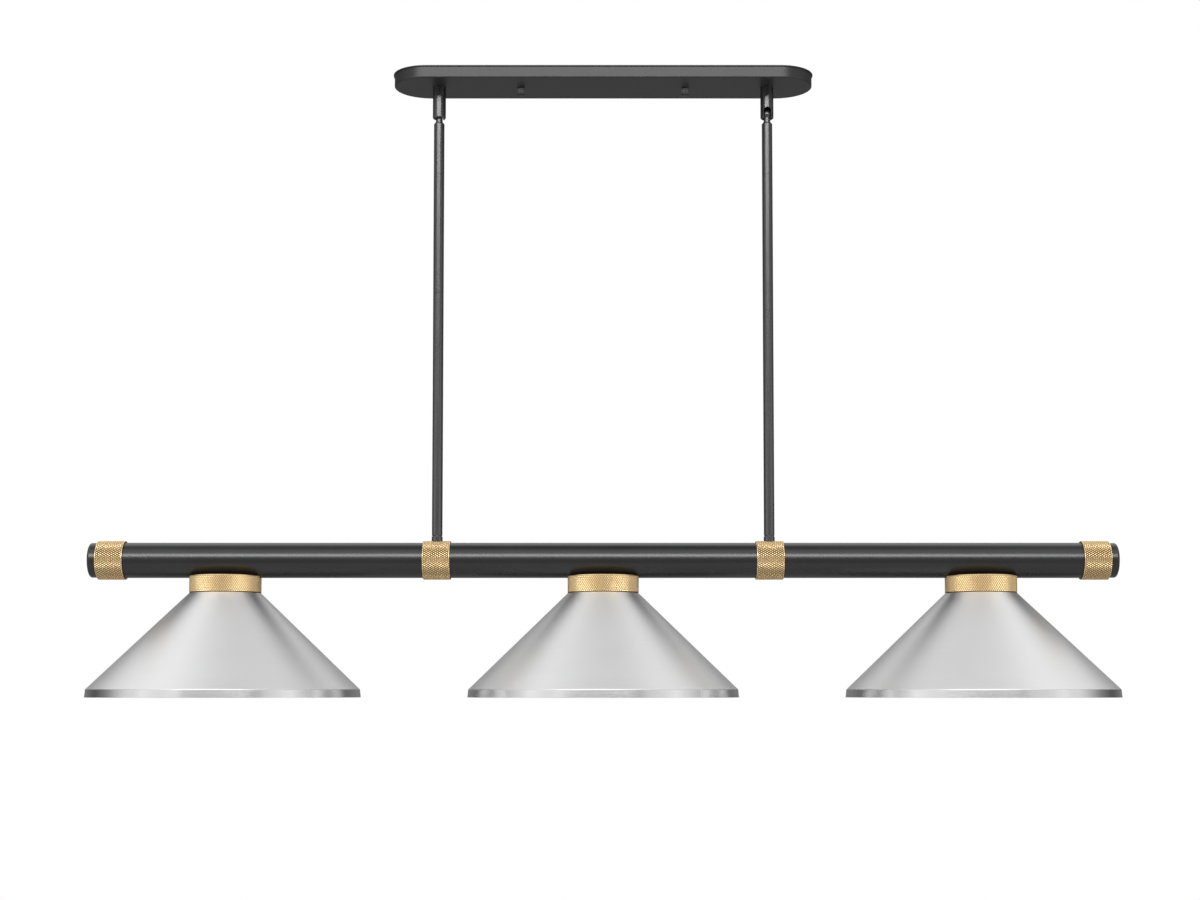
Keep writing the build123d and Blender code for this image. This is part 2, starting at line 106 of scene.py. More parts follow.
# %% The socket wrapper and the node sheet
class Wire:
    """A value on its way through a finish. Python's operators add the Math nodes."""

    def __init__(self, sheet, socket):
        self.sheet, self.socket = sheet, socket

    def math(self, operation, first, second):
        return self.sheet.add("ShaderNodeMath", {"operation": operation}, {0: first, 1: second})

    def __add__(self, other):
        return self.math("ADD", self, other)

    def __sub__(self, other):
        return self.math("SUBTRACT", self, other)

    def __rsub__(self, other):
        return self.math("SUBTRACT", other, self)

    def __mul__(self, other):
        return self.math("MULTIPLY", self, other)

    __radd__, __rmul__ = __add__, __mul__


class Sheet:
    """The node sheet of one finish or of the world."""

    def __init__(self, tree):
        self.nodes, self.links = tree.nodes, tree.links

    def add(self, kind, settings=None, sockets=None, out=0):
        """Add a node: first its settings, then its sockets' values or links. Gives one output."""
        node = self.nodes.new(kind)
        for name, value in (settings or {}).items():
            if name == "stops":
                stops = node.color_ramp.elements
                while len(stops) < len(value):
                    stops.new(1.0)
                for stop, (position, shade) in zip(stops, value):
                    stop.position, stop.color = position, (*[shade] * 3, 1.0)
            else:
                setattr(node, name, value)
        for key, value in (sockets or {}).items():
            if isinstance(value, Wire):
                self.links.new(value.socket, node.inputs[key])
            else:
                node.inputs[key].default_value = value
        return Wire(self, node.outputs[out]) if node.outputs else None

    def vector(self, operation, first, second=(0.0, 0.0, 0.0), out=0):
        sockets = {0: first, 1: second}
        return self.add("ShaderNodeVectorMath", {"operation": operation}, sockets, out)

    def place(self):
        """Where a point is on its piece, in metres."""
        return self.add("ShaderNodeTexCoord", out="Object")

    def part_of(self, vector, axis):
        return self.add("ShaderNodeSeparateXYZ", None, {0: vector}, out=axis)

    def written(self, name):
        """A value that the mesh carries at each point."""
        return self.add("ShaderNodeAttribute", {"attribute_name": name}, out="Fac")

    def noise(self, vector, scale, detail=2.0, roughness=0.5):
        """A soft cloudy value from 0 to 1, with features of about 1 / scale metres."""
        sockets = {"Vector": vector, "Scale": scale, "Detail": detail, "Roughness": roughness}
        return self.add("ShaderNodeTexNoise", None, sockets)

    def ramp(self, value, *stops):
        return self.add("ShaderNodeValToRGB", {"stops": stops}, {0: value})

    def span(self, value, low, high):
        """0 below low, 1 above high."""
        return self.add("ShaderNodeMapRange", {"clamp": True}, {0: value, 1: low, 2: high})

    def mix(self, share, first, second):
        """A colour between two, by a share from 0 to 1."""
        sockets = {0: share, 6: first, 7: second}
        return self.add("ShaderNodeMix", {"data_type": "RGBA"}, sockets, out=2)

    def bump(self, height, distance, below=None):
        """A normal that follows a height from 0 to 1, which stands for this many metres."""
        sockets = {"Height": height, "Distance": distance, "Strength": 1.0}
        if below is not None:
            sockets["Normal"] = below
        return self.add("ShaderNodeBump", None, sockets)

    def surface(self, sockets):
        """The finish itself, fed into the output."""
        shader = self.add("ShaderNodeBsdfPrincipled", None, sockets)
        self.add("ShaderNodeOutputMaterial", None, {"Surface": shader})


def colour(red, green, blue):
    return (red, green, blue, 1.0)


FINISHES = {}


def blank(name):
    """A new material with nothing in it yet, and its node sheet."""
    material = bpy.data.materials.new(name)
    material.use_nodes = True
    material.node_tree.nodes.clear()
    return material, Sheet(material.node_tree)


def new_finish(slot):
    """An empty sheet for one of the record's slots."""
    FINISHES[slot], sheet = blank(slot)
    return sheet


print("slots to finish:", sorted(set(finish_slots.values())))

# %% [markdown]
# ## Satin charcoal paint
# Canopy, swivels, stems and bar are sprayed and baked. Such paint levels into a faint orange
# peel about a millimetre across, and its sheen changes a little from place to place. The colour
# itself is even, so the detail goes into the bump and the roughness, but for a painted highlight:
# where a mesh carries a ridge value (0 if it has none), pale bare steel is painted in as light.
# One recipe makes three paints. The canopy is pressed from rolled sheet, which takes the paint
# duller, and the photograph shows only a soft shade of the rods in it. The rods and swivels are
# glossier than the bar: they carry a bright line from top to bottom. A higher index of
# refraction mirrors more light, which is what a clear top coat does.


# %% Paint
def mix_paint(name, roughness, refraction, peel_height):
    paint, sheet = blank(name)
    place = sheet.place()
    peel = sheet.noise(place, 850.0, 1.0)
    cloud = sheet.noise(place, 16.0, 3.0)
    rubbed = sheet.written("rubbed")
    black = sheet.mix(cloud, colour(0.008, 0.008, 0.0085), colour(0.014, 0.014, 0.0145))
    sheet.surface(
        {
            # painted highlight: pale bare steel where a mesh marks a ridge
            "Base Color": sheet.mix(rubbed, black, colour(0.42, 0.42, 0.43)),
            "Metallic": rubbed * 0.9,
            "Roughness": roughness + 0.05 * cloud + 0.14 * rubbed,
            "IOR": refraction,
            "Normal": sheet.bump(peel, peel_height),
        }
    )
    return paint


ON_TURNED, ON_PRESSED = 0.25, 0.37  # roughness
PLAIN, TOP_COAT = 1.56, 1.92  # indices of refraction
THICK, THIN = 0.000008, 0.000003  # m; a thin coat on a rod leaves less of a peel

bar_paint = FINISHES["satin_black"] = mix_paint("satin_black", ON_TURNED, PLAIN, THICK)
canopy_paint = mix_paint("canopy_paint", ON_PRESSED, PLAIN, THICK)
rod_paint = mix_paint("rod_paint", ON_TURNED, TOP_COAT, THIN)
print("paints:", bar_paint.name, canopy_paint.name, rod_paint.name)

# %% [markdown]
# ## Lines that run round an axis
# Spinning, turning and brushing all leave fine lines round the piece's axis. The noise is read
# in a space where one turn is short and a millimetre along the profile is long, so it draws
# itself out into lines. The turn is read from a circle rather than an angle, so it has no seam.


# %% The turned-line pattern
def turned_lines(sheet, lines_per_mm, arcs=3.0):
    """Lines round the piece's own Z axis. arcs says how often their strength changes on a turn."""
    place = sheet.place()
    level = sheet.vector("MULTIPLY", place, (1.0, 1.0, 0.0))
    radius = sheet.vector("LENGTH", level, out="Value")
    round_it = sheet.vector("MULTIPLY", sheet.vector("NORMALIZE", level), (arcs, arcs, 0.0))
    profile = (radius - sheet.part_of(place, "Z")) * (1000.0 * lines_per_mm)
    along = sheet.add("ShaderNodeCombineXYZ", None, {"Z": profile})
    return sheet.noise(sheet.vector("ADD", round_it, along), 1.0, 3.0, 0.6)


SPUN_LINES = 2.2  # per mm of the shades' slope
print("one turned line is about", round(1 / SPUN_LINES, 2), "mm wide on the shades")

# %% [markdown]
# ## Brushed nickel for the shades
# A spun cone is polished on the lathe with fine grit, which leaves lines round it. They smear
# each reflection along the slope of the cone, which is why the photograph shows soft streaks
# that run from the collar to the rim. Anisotropy does that: its default direction goes round
# the piece's own Z axis, and a quarter turn sets the smear across the lines. The rim below the
# fold is burnished with a smooth tool, so it is half as rough.

# %% Nickel
RIM_POLISH = (-0.1275, -0.1262)  # m from the shade's top: polished below, brushed above
QUARTER_TURN = 0.25

sheet = new_finish("brushed_nickel")
lines = turned_lines(sheet, SPUN_LINES)
broad = turned_lines(sheet, 0.25, 1.5)
rim = 1.0 - sheet.span(sheet.part_of(sheet.place(), "Z"), *RIM_POLISH)
cloud = sheet.noise(sheet.place(), 22.0, 3.0)
sheet.surface(
    {
        "Base Color": sheet.mix(lines, colour(0.70, 0.70, 0.70), colour(0.77, 0.77, 0.775)),
        "Metallic": 1.0,
        "Roughness": (0.40 + 0.05 * lines + 0.05 * broad + 0.04 * cloud) * (1.0 - 0.5 * rim),
        "Anisotropic": 0.3,
        "Anisotropic Rotation": QUARTER_TURN,
        "Normal": sheet.bump(lines, 0.000012, sheet.bump(broad, 0.00004)),
    }
)
print("nickel:", len(sheet.nodes), "nodes")

# %% [markdown]
# ## Knurled brass
# The collars and bands are turned brass with a rolled diamond knurl. The points are polished by
# the tool and the grooves stay dull and rough; their dark colour is painted shade. The knurl itself
# is real geometry further down, which writes how high each point stands as "relief"; here relief
# mixes the painted groove shade and the polished point.

# %% Brass
SHADE_BELOW, UNSHADED_ABOVE = 0.10, 0.60  # relief: painted groove shade below, plain brass above

sheet = new_finish("knurled_brass")
relief = sheet.written("relief")
lines = turned_lines(sheet, 1.6)
cloud = sheet.noise(sheet.place(), 60.0, 3.0)
# painted shade: the dark colour in the knurl's grooves
groove = colour(0.12, 0.065, 0.025)
point = sheet.mix(cloud, colour(0.98, 0.75, 0.42), colour(0.95, 0.70, 0.37))
sheet.surface(
    {
        "Base Color": sheet.mix(sheet.span(relief, SHADE_BELOW, UNSHADED_ABOVE), groove, point),
        "Metallic": 1.0,
        "Roughness": 0.44 - 0.14 * relief + 0.06 * cloud,
        "Normal": sheet.bump(lines, 0.00001),
    }
)
print("brass:", len(sheet.nodes), "nodes")

# %% [markdown]
# ## Zinc-plated steel and the green ground screw
# The strap, studs, nipples and nuts are bright zinc plate: a bluish steel with a cloudy passive
# film. The ground screw is the same steel, dyed green as wiring rules ask.

# %% Zinc plate and green dye
sheet = new_finish("zinc_steel")
place = sheet.place()
film = sheet.noise(place, 90.0, 3.0)
grain = sheet.noise(sheet.vector("MULTIPLY", place, (1.0, 12.0, 12.0)), 160.0)
sheet.surface(
    {
        "Base Color": sheet.mix(film, colour(0.56, 0.59, 0.62), colour(0.70, 0.70, 0.66)),
        "Metallic": 1.0,
        "Roughness": 0.34 + 0.12 * film + 0.06 * grain,
        "Normal": sheet.bump(grain, 0.00001),
    }
)
sheet = new_finish("ground_green")
film = sheet.noise(sheet.place(), 400.0, 2.0)
sheet.surface(
    {
        "Base Color": sheet.mix(film, colour(0.02, 0.26, 0.09), colour(0.05, 0.36, 0.14)),
        "Metallic": 0.6,
        "Roughness": 0.28 + 0.12 * film,
        "Normal": sheet.bump(film, 0.00002),
    }
)
print("hidden steel done")

# %% [markdown]
# ## Inside the shade: porcelain, screw shell, ring, bulb
# The socket is slip-cast porcelain under a clear glaze, so it has a coat and a very slow
# ripple. The ring that clamps the shade is moulded phenolic with a fine matt grain. The bulb's
# glass is opal, its cap rolled aluminium with turning lines, and the cap's insulator is black
# glass.

# %% Porcelain and brass shell
sheet = new_finish("socket_porcelain")
place = sheet.place()
ripple = sheet.noise(place, 110.0, 1.0)
specks = sheet.span(sheet.noise(place, 1900.0, 0.0), 0.72, 0.80)
sheet.surface(
    {
        "Base Color": sheet.mix(specks, colour(0.86, 0.85, 0.81), colour(0.70, 0.66, 0.58)),
        "Roughness": 0.14 + 0.10 * ripple,
        "Coat Weight": 0.6,
        "Coat Roughness": 0.05,
        "Normal": sheet.bump(ripple, 0.00006),
    }
)
sheet = new_finish("socket_brass")
lines = turned_lines(sheet, 1.2)
sheet.surface(
    {
        "Base Color": sheet.mix(lines, colour(0.72, 0.52, 0.22), colour(0.84, 0.66, 0.34)),
        "Metallic": 1.0,
        "Roughness": 0.18 + 0.14 * lines,
        "Normal": sheet.bump(lines, 0.00001),
    }
)
print("socket done")

# %% Ring, bulb cap and opal glass
sheet = new_finish("ring_black")
grain = sheet.noise(sheet.place(), 1500.0, 2.0)
sheet.surface(
    {
        "Base Color": sheet.mix(grain, colour(0.022, 0.021, 0.020), colour(0.045, 0.043, 0.041)),
        "Roughness": 0.48 + 0.16 * grain,
        "Normal": sheet.bump(grain, 0.00003),
    }
)
sheet = new_finish("bulb_cap")
lines = turned_lines(sheet, 1.8)
sheet.surface(
    {
        "Base Color": sheet.mix(lines, colour(0.70, 0.70, 0.71), colour(0.82, 0.82, 0.83)),
        "Metallic": 1.0,
        "Roughness": 0.26 + 0.12 * lines,
        "Normal": sheet.bump(lines, 0.00001),
    }
)
sheet = new_finish("bulb_opal")
place = sheet.place()
milk = sheet.noise(place, 30.0, 2.0)
skin_ripple = sheet.noise(place, 90.0, 0.0)
sheet.surface(
    {
        "Base Color": sheet.mix(milk, colour(0.90, 0.89, 0.86), colour(0.94, 0.935, 0.915)),
        "Roughness": 0.30 + 0.06 * milk,
        "Coat Weight": 0.25,
        "Coat Roughness": 0.15,
        "Normal": sheet.bump(skin_ripple, 0.00005),
    }
)
cap_glass, sheet = blank("cap_glass")
bubbles = sheet.noise(sheet.place(), 700.0, 2.0)
sheet.surface(
    {
        "Base Color": sheet.mix(bubbles, colour(0.010, 0.009, 0.012), colour(0.035, 0.030, 0.040)),
        "Roughness": 0.08 + 0.10 * bubbles,
        "Normal": sheet.bump(bubbles, 0.00003),
    }
)
print("finishes:", sorted(FINISHES))

# %% Give every CAD node its finish
RODS = ("stem_top", "stem_middle", "stem_bottom", "ball_stud", "swivel_body")

for node, shown in frame["nodes"].items():
    finish = rod_paint if node.startswith(RODS) else FINISHES[finish_slots[node]]
    shown.material_slots[0].material = finish
print("finished", len(frame["nodes"]), "nodes")

# %% [markdown]
# ## One way to make turned and pressed pieces
# Nearly everything here is a profile carried round a path: a circle for turned and spun pieces,
# a race-track for the canopy. So one function sets the profile at each station of a path and
# joins the stations. A profile may also be worked out anew at each station, which is how
# threads and hexagons come about. Corners are rounded in the profile, because a real edge is
# always a little broken and that is what catches the light.

# %% Profiles and stations
MM = 0.001
BROKEN_EDGE = 0.25
NEAR_HALF = 0.48  # a rounding takes at most this share of a side, so two never meet
TOO_SMALL = 1e-4  # mm; a corner cut by less stays a corner


def rounded(corners, radius=BROKEN_EDGE, steps=3):
    """An open profile of (distance, height) corners in mm, each inner corner rounded. A corner
    may bring its own radius as a third number."""
    points = [Vector(c[:2]) for c in corners]
    made = [points[0]]
    for i in range(1, len(points) - 1):
        back, ahead = points[i - 1] - points[i], points[i + 1] - points[i]
        size = corners[i][2] if len(corners[i]) > 2 else radius
        half = back.angle(ahead) / 2
        cut = min(size / math.tan(half), NEAR_HALF * back.length, NEAR_HALF * ahead.length)
        start, end = points[i] + back.normalized() * cut, points[i] + ahead.normalized() * cut
        if cut < TOO_SMALL:
            made.append(points[i])
            continue
        for k in range(steps + 1):
            s = k / steps
            made.append(start * (1 - s) ** 2 + points[i] * (2 * s * (1 - s)) + end * s**2)
    return [tuple(p) for p in made + [points[-1]]]


def circle(count):
    """Stations (x, y, out x, out y) round a circle of no size: the profile gives the radius."""
    turns = [2 * math.pi * i / count for i in range(count)]
    return [(0.0, 0.0, math.cos(a), math.sin(a)) for a in turns]


def race_track(length, per_end=64, per_side=24):
    """Stations round a line of this length in mm: the profile gives the distance from it."""
    stations = []
    for sign in (1, -1):
        for i in range(per_end + 1):
            a = math.pi * (i / per_end - 0.5)
            stations.append((sign * length / 2, 0.0, sign * math.cos(a), sign * math.sin(a)))
        for i in range(1, per_side):
            stations.append((sign * length * (0.5 - i / per_side), 0.0, 0.0, sign * 1.0))
    return stations


print("broken edges are rounded by", BROKEN_EDGE, "mm")


# %% The skin function
WELD = 1e-7  # m; points nearer than this are one
SHARP_DEG, HEXAGON_SHARP_DEG, KNURL_SHARP_DEG = 32.0, 25.0, 20.0


def settle(name, maker, sharp_deg):
    """Close up a mesh, shade it smooth but for edges sharper than sharp_deg, and show it."""
    bmesh.ops.remove_doubles(maker, verts=maker.verts, dist=WELD)
    bmesh.ops.dissolve_degenerate(maker, edges=maker.edges, dist=WELD)
    bmesh.ops.recalc_face_normals(maker, faces=maker.faces)
    for face in maker.faces:
        face.smooth = True
    for edge in maker.edges:
        edge.smooth = edge.calc_face_angle(0.0) < math.radians(sharp_deg)
    mesh = bpy.data.meshes.new(name)
    maker.to_mesh(mesh)
    maker.free()
    piece = bpy.data.objects.new(name, mesh)
    bpy.context.scene.collection.objects.link(piece)
    flats = piece.modifiers.new("keep flats flat", "WEIGHTED_NORMAL")
    flats.keep_sharp = True
    return piece


def skin(name, stations, profile, closed=False, sharp_deg=SHARP_DEG):
    """Carry a profile (in mm) round the stations. profile may be a function of the turn, 0 to 1."""
    maker = bmesh.new()
    rings = []
    for i, (x, y, out_x, out_y) in enumerate(stations):
        shape = profile(i / len(stations)) if callable(profile) else profile
        spots = [Vector((x + out_x * r, y + out_y * r, z)) * MM for r, z in shape]
        rings.append([maker.verts.new(spot) for spot in spots])
    count = len(rings[0])
    for here, after in zip(rings, rings[1:] + rings[:1]):
        for i in range(count if closed else count - 1):
            j = (i + 1) % count
            maker.faces.new((here[i], here[j], after[j], after[i]))
    return settle(name, maker, sharp_deg)


ALONG_BAR = Euler((0, math.radians(90), 0))


def stand_in(piece, at, node, along_bar=False, finish=None):
    """Put a piece (made round its own Z axis) in place: it rides with this node and replaces it."""
    piece.location = Vector(at)
    if along_bar:
        piece.rotation_euler = ALONG_BAR
    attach(piece, frame["nodes"][node]["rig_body"])
    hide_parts(node)
    piece.data.materials.append(finish or FINISHES[finish_slots[node]])


def middle(node):
    low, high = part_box(node)
    return (low + high) / 2


def write_on(mesh, name, value_at):
    """Store a value at each vertex, worked out from its distance to the axis and its height, mm."""
    written = mesh.attributes.new(name, "FLOAT", "POINT")
    for spot, vertex in zip(written.data, mesh.vertices):
        x, y, z = vertex.co
        spot.value = value_at(math.hypot(x, y) / MM, z / MM)


SIDES = ("left", "right")
PLACES = ("left", "centre", "right")  # the three shades
print("helpers ready")

# %% [markdown]
# ## The canopy
# The canopy is a shallow pressed steel pan with full-round ends and a small lip where it meets
# the ceiling. It is a profile carried round a race-track: down the inside, over the lip, down
# the outside, round the pressed edge and under the floor. In the photograph that edge shows as a
# dark line between the paler side and the underside, so its radius matters.

# %% Canopy
PAN_LENGTH, PAN_WIDTH, PAN_HEIGHT, PAN_WALL = 556.8, 92.0, 16.3, 1.2
LIP_OUT, LIP_HEIGHT, PAN_EDGE = 1.4, 1.6, 1.5

half = PAN_WIDTH / 2
pan_profile = rounded(
    [
        (0, PAN_WALL - PAN_HEIGHT),
        (half - PAN_WALL, PAN_WALL - PAN_HEIGHT, 1.0),
        (half - PAN_WALL, 0),
        (half + LIP_OUT, 0, 0.5),
        (half + LIP_OUT, -LIP_HEIGHT, 0.6),
        (half, -LIP_HEIGHT, 0.4),
        (half, -PAN_HEIGHT, PAN_EDGE),
        (0, -PAN_HEIGHT),
    ],
    steps=6,
)
canopy = skin("pressed_canopy", race_track(PAN_LENGTH - PAN_WIDTH), pan_profile)
stand_in(canopy, (0, 0, 0), "canopy", finish=canopy_paint)
print("canopy faces:", len(canopy.data.polygons))

# %% [markdown]
# ## The canopy nuts
# Two small domed nuts hold the canopy up against the strap. They are turned, with three
# finger grooves round them. Their ridges carry a painted highlight, pale bars of bare steel,
# so the mesh says how far each point stands proud of the grooves.

# %% Canopy nuts
NUT_RADIUS, NUT_HEIGHT, NUT_DOME = 4.7, 10.5, 1.8
NUT_BORE, BORE_DEPTH = 2.35, 7.1
GROOVE_LEVELS, GROOVE_WIDTH, GROOVE_DEPTH = (2.4, 4.4, 6.4), 1.0, 0.35
HIGHLIGHT_FROM, HIGHLIGHT_TO = -8.6, -1.2  # where the painted highlight reaches, in mm from the nut's top

grooves = []
for level in GROOVE_LEVELS:
    grooves += [
        (NUT_RADIUS, -level, 0.1),
        (NUT_RADIUS - GROOVE_DEPTH, -level - GROOVE_DEPTH, 0.1),
        (NUT_RADIUS - GROOVE_DEPTH, -level - GROOVE_WIDTH + GROOVE_DEPTH, 0.1),
        (NUT_RADIUS, -level - GROOVE_WIDTH, 0.1),
    ]
nut_profile = rounded(
    [
        (NUT_BORE, -BORE_DEPTH),
        (NUT_BORE, 0),
        (NUT_RADIUS, 0, 0.3),
        *grooves,
        (NUT_RADIUS, -NUT_HEIGHT, NUT_DOME),
        (0, -NUT_HEIGHT),
    ],
    steps=5,
)


def painted_highlight_at(distance, height):
    """Painted highlight: 0 in a groove, 1 on a ridge, and nothing outside the grooved band."""
    proud = (distance - NUT_RADIUS) / GROOVE_DEPTH + 1.0
    return min(1.0, max(0.0, proud)) if HIGHLIGHT_FROM < height < HIGHLIGHT_TO else 0.0


for side in SIDES:
    node = f"canopy_nut_{side}"
    nut = skin(f"turned_nut_{side}", circle(48), [(0, -BORE_DEPTH), *nut_profile])
    write_on(nut.data, "rubbed", painted_highlight_at)
    stand_in(nut, (middle(node).x, 0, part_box(node)[1].z), node)
print("nut grooves:", len(GROOVE_LEVELS))

# %% [markdown]
# ## Screw threads
# A thread is a profile that climbs as it goes round. At each station the same saw-tooth is read
# a little higher, and after one turn it has climbed by one pitch, so the skin closes on itself.
# The teeth fade out near the ends, as a cut thread does. A hexagon nut is made in the same way:
# each station reads how far its flat lies from the axis.


# %% Thread and hexagon profiles
ROWS_PER_TURN = 6
THREAD_FADE = 0.8  # mm in which the teeth rise at each end
LEAD_IN = 0.35  # the chamfer in a nut's bore
WASHER_FACE = 0.95  # a nut's round end face, as a share of its width across the flats
NUT_CHAMFER = math.radians(30)


def threaded(radius, depth, pitch, low, high, bore):
    """A profile for skin(): an outside thread from low to high, in mm. A bore of 0 is solid."""
    rows = max(8, round((high - low) / pitch * ROWS_PER_TURN))

    def profile(turn):
        outside = []
        for k in range(rows + 1):
            z = low + (high - low) * k / rows
            phase = (z / pitch - turn) % 1.0
            tooth = 1 - abs(2 * phase - 1)
            near_end = min(1.0, (z - low) / THREAD_FADE, (high - z) / THREAD_FADE)
            outside.append((radius - depth + depth * tooth * near_end, z))
        inside = [(bore, high), (bore, low)] if bore else [(0.0, high)]
        return [(bore, low), *outside, *inside]

    return profile


def hexagon(flats, low, high, bore):
    """A profile for skin(): a hexagon nut, chamfered at both ends, in mm."""
    face = WASHER_FACE * flats / 2

    def profile(turn):
        reach = flats / 2 / math.cos((turn * 2 * math.pi) % (math.pi / 3) - math.pi / 6)
        drop = (reach - face) * math.tan(NUT_CHAMFER)
        return [
            (bore, low + LEAD_IN),
            (bore + LEAD_IN, low),
            (face, low),
            (reach, low + drop),
            (reach, high - drop),
            (face, high),
            (bore + LEAD_IN, high),
            (bore, high - LEAD_IN),
            (bore, low + LEAD_IN),
        ]

    return profile


print("thread rows per turn:", ROWS_PER_TURN)

# %% Studs, nipples and their nuts in the canopy
THREADS = {
    # node: outer radius, depth, pitch, bore, in mm
    "canopy_studs": (2.1, 0.42, 0.79, 0.0),
    "swivel_nipples": (4.85, 0.5, 0.94, 2.75),
}
LOCKNUTS = {
    # node: width across the flats, bore, in mm
    "stud_locknuts": (8.0, 2.2),
    "swivel_locknuts": (14.3, 4.95),
}


def pair(node, width, stations, profile, sharp_deg=SHARP_DEG):
    """A node that holds two of the same piece, this wide in mm, left and right of the middle."""
    low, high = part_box(node)
    span = high.x - low.x - width * MM
    for side, x in zip(SIDES, (-span / 2, span / 2)):
        shape = profile(low.z / MM, high.z / MM)
        piece = skin(f"{node}_{side}", stations, shape, sharp_deg=sharp_deg)
        stand_in(piece, (x, 0, 0), node)


for node, (radius, *cut, bore) in THREADS.items():
    pair(node, 2 * radius, circle(32), lambda low, high: threaded(radius, *cut, low, high, bore))
for node, (flats, bore) in LOCKNUTS.items():
    pair(
        node,
        flats / math.cos(math.pi / 6),
        circle(48),
        lambda low, high: hexagon(flats, low, high, bore),
        HEXAGON_SHARP_DEG,
    )
print("threaded pieces and nuts:", 2 * len(THREADS) + 2 * len(LOCKNUTS))

# %% [markdown]
# ## The diamond knurl
# Rolling two crossed wheels into brass raises rows of small pyramids. The lattice has a groove
# crossing at every odd corner and a point at every even one; each point becomes a tiny flat
# with four sloping sides. At the ends the rows run out against a narrow plain land, then a
# chamfer, which the photograph shows as a thin pale line on each side of the pattern.


# %% Knurled ring
KNURL_DEPTH = 0.6
POINT_FLAT = 0.26  # half a point's flat, as a share of a half diamond
LAND_DROP, LAND_STEP = 0.1, 0.05  # how far below the points the land stands, and past them starts
END_CHAMFER = 0.6
TURNED_AND_SHADED = 0.30  # relief of the plain turned faces inside: rougher, and painted darker as shade under the tube


def knurled(name, radius, low, high, columns, rows, rest, land):
    """A ring knurled from low to high but for a land at each end. rest is the profile from the
    upper land round to the lower one, in mm. rows counts half diamonds."""
    maker = bmesh.new()
    step, rise = math.pi / columns, (high - low - 2 * land) / rows

    def vertex(half_turns, r, z):
        a = half_turns * step
        return maker.verts.new(Vector((r * math.cos(a), r * math.sin(a), z)) * MM)

    corners, points = {}, {}
    for i in range(2 * columns):
        for j in range(rows + 1):
            z = low + land + j * rise
            if (i + j) % 2:
                corners[i, j] = vertex(i, radius - KNURL_DEPTH, z)
            else:
                flat = {"w": vertex(i - POINT_FLAT, radius, z)}
                flat["e"] = vertex(i + POINT_FLAT, radius, z)
                if j > 0:
                    flat["s"] = vertex(i, radius, z - POINT_FLAT * rise)
                if j < rows:
                    flat["n"] = vertex(i, radius, z + POINT_FLAT * rise)
                points[i, j] = flat
    turn = 2 * columns
    for (i, j), flat in points.items():
        west, east = corners[(i - 1) % turn, j], corners[(i + 1) % turn, j]
        maker.faces.new([flat[k] for k in "wsen" if k in flat])
        for side, across in (("s", j - 1), ("n", j + 1)):
            if side in flat:
                far = corners[i, across]
                maker.faces.new((west, far, flat[side], flat["w"]))
                maker.faces.new((east, far, flat[side], flat["e"]))

    def edge_of(j):
        """The lattice's end row in order round the ring: flat, flat, groove."""
        order = []
        for i in range(j % 2, turn + j % 2, 2):
            flat = points[i % turn, j]
            order += [flat["w"], flat["e"], corners[(i + 1) % turn, j]]
        return order

    shift = [-POINT_FLAT, POINT_FLAT, 1.0]
    first, last = rows % 2, 0
    rings = [edge_of(rows)]
    for k, (r, z) in enumerate(rest):
        parity = first if k < len(rest) / 2 else last
        rings.append([vertex(2 * c + parity + s, r, z) for c in range(columns) for s in shift])
    rings.append(edge_of(0))
    for here, after in zip(rings, rings[1:]):
        for k in range(len(here)):
            n = (k + 1) % len(here)
            maker.faces.new((here[k], here[n], after[n], after[k]))
    return settle(name, maker, KNURL_SHARP_DEG)


WELL_INSIDE = -0.2  # in knurl depths: what lies deeper is no longer knurl


def write_relief(piece, radius, groove, seam=-math.inf):
    """How polished each vertex is and how much painted shade it gets: 1 on a point or land, the
    groove value at the bottom of the knurl, the turned value on plain faces inside. Below the seam,
    a height in mm, the painted seam shade makes it 0."""

    def relief_at(distance, height):
        if height < seam:
            return 0.0
        rise = (distance - radius + KNURL_DEPTH) / KNURL_DEPTH
        return TURNED_AND_SHADED if rise < WELL_INSIDE else min(1.0, groove + (1 - groove) * max(0.0, rise))

    write_on(piece.data, "relief", relief_at)


print("knurl depth", KNURL_DEPTH, "mm")

# %% [markdown]
# ## Bands on the bar
# Four brass sleeves sit on the tube: one under each stem and one at each end. Each is a plain
# bore, two chamfered ends, and the knurl between its lands.

# %% Bands
BAND_RADIUS, TUBE_FIT, BAND_LAND = 25.55, 23.25, 1.0
BAND_COLUMNS, BAND_ROWS = 54, 14
BAND_GROOVE_SHADE = -0.18  # below 0, so the painted groove shade reaches a little way up each diamond

for kind in ("stem_band", "end_band"):
    for side in SIDES:
        node = f"{kind}_{side}"
        low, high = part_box(node)
        reach = (high.x - low.x) / MM / 2
        land = BAND_RADIUS - LAND_DROP
        rest = rounded(
            [
                (land, reach - BAND_LAND + LAND_STEP),
                (land, reach - END_CHAMFER, 0.15),
                (land - END_CHAMFER, reach, 0.15),
                (TUBE_FIT, reach, 0.2),
                (TUBE_FIT, -reach, 0.2),
                (land - END_CHAMFER, -reach, 0.15),
                (land, END_CHAMFER - reach, 0.15),
                (land, BAND_LAND - LAND_STEP - reach),
            ],
            steps=2,
        )
        knurl = (BAND_COLUMNS, BAND_ROWS, rest, BAND_LAND)
        band = knurled(f"knurled_{node}", BAND_RADIUS, -reach, reach, *knurl)
        write_relief(band, BAND_RADIUS, BAND_GROOVE_SHADE)
        stand_in(band, middle(node), node, along_bar=True)
print("one diamond on a band, mm:", round(2 * math.pi * BAND_RADIUS / BAND_COLUMNS, 2), "round")

# %% [markdown]
# ## Foot couplings
# A short turned coupling joins each stem to its band. Its lower end is cut to the band's round,
# so the profile reads its own bottom at every station. Its upper end is necked down, and the
# neck draws the dark seam that the photograph shows just above the bar.

# %% Foot couplings
FOOT_RADIUS, FOOT_BORE, NECK_RADIUS, NECK_HEIGHT = 7.2, 5.1, 6.3, 1.1
SEAT_PLAY, NECK_FLARE = 0.05, 0.2

